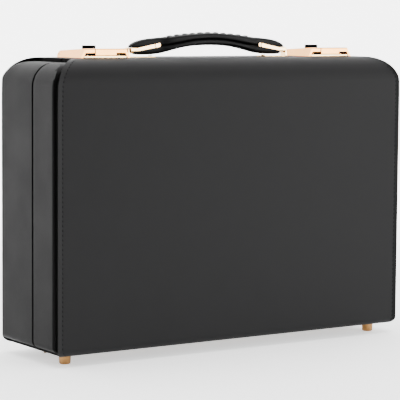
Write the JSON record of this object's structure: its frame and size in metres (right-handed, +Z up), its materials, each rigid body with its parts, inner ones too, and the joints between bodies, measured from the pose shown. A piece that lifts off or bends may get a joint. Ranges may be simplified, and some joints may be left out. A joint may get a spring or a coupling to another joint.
{
  "type": "instrument case",
  "caption": "Leather-covered upright clarinet case with a lid hinged along its bottom edge, push-button latches and a swinging carrying handle.",
  "frame": {"origin": "centre of the footprint on the ground plane under the feet", "axes": "+X along the case's width, to the right seen from the lid; +Y from the lid towards the back; +Z up"},
  "size_m": [0.368, 0.101, 0.2807],
  "materials": {
    "wood": "matt",
    "side_leather": "smooth grained, satin",
    "wrap_leather": "smooth, satin",
    "plush": "short pile",
    "grip_leather": "satin",
    "button": "gloss",
    "brass": "polished, pale gold"
  },
  "bodies": {
    "base": {"base_shell": "wood", "base_cover": "side_leather", "base_wrap": "wrap_leather", "base_rim": "wood", "base_insert": "plush", "hinge_leaf_base": "brass", "hinge_pin": "brass", "hinge_screws_base": "brass", "feet_base": "brass", "handle_mount_left": "brass", "handle_mount_right": "brass", "handle_mount_screws": "brass", "handle_pivots": "brass", "latch_plate_left": "brass", "latch_plate_right": "brass", "latch_plate_screws": "brass", "latch_pins": "brass"},
    "lid": {"lid_shell": "wood", "lid_cover": "side_leather", "lid_wrap": "wrap_leather", "lid_pad": "plush", "lid_lining": "plush", "hinge_leaf_lid": "brass", "hinge_screws_lid": "brass", "feet_lid": "brass", "striker_left": "brass", "striker_right": "brass", "striker_screws": "brass"},
    "handle": {"handle_grip_upper": "grip_leather", "handle_grip_lower": "grip_leather", "handle_loop_left": "brass", "handle_loop_right": "brass", "handle_rivets": "brass"},
    "hasp_left": {"latch_hasp_left": "brass"},
    "hasp_right": {"latch_hasp_right": "brass"},
    "button_left": {"latch_button_left": "button"},
    "button_right": {"latch_button_right": "button"}
  },
  "joints": [
    {"name": "lid_hinge", "type": "hinge", "parent": "base", "child": "lid", "pos_m": [0, -0.0105, 0.0085], "axis": [1, 0, 0], "range_deg": [0, 130]},
    {"name": "handle_swing", "type": "hinge", "parent": "base", "child": "handle", "pos_m": [0, 0, 0.265], "axis": [1, 0, 0], "range_deg": [-70, 70]},
    {"name": "hasp_left_pivot", "type": "hinge", "parent": "base", "child": "hasp_left", "pos_m": [-0.12, 0.0169, 0.2622], "axis": [-1, 0, 0], "range_deg": [0, 90]},
    {"name": "hasp_right_pivot", "type": "hinge", "parent": "base", "child": "hasp_right", "pos_m": [0.12, 0.0169, 0.2622], "axis": [-1, 0, 0], "range_deg": [0, 90]},
    {"name": "button_left_press", "type": "slide", "parent": "hasp_left", "child": "button_left", "axis": [0, 0, -1], "range_m": [0, 0.0015], "stiffness_N_per_m": 500, "springref_m": -0.002},
    {"name": "button_right_press", "type": "slide", "parent": "hasp_right", "child": "button_right", "axis": [0, 0, -1], "range_m": [0, 0.0015], "stiffness_N_per_m": 500, "springref_m": -0.002}
  ]
}
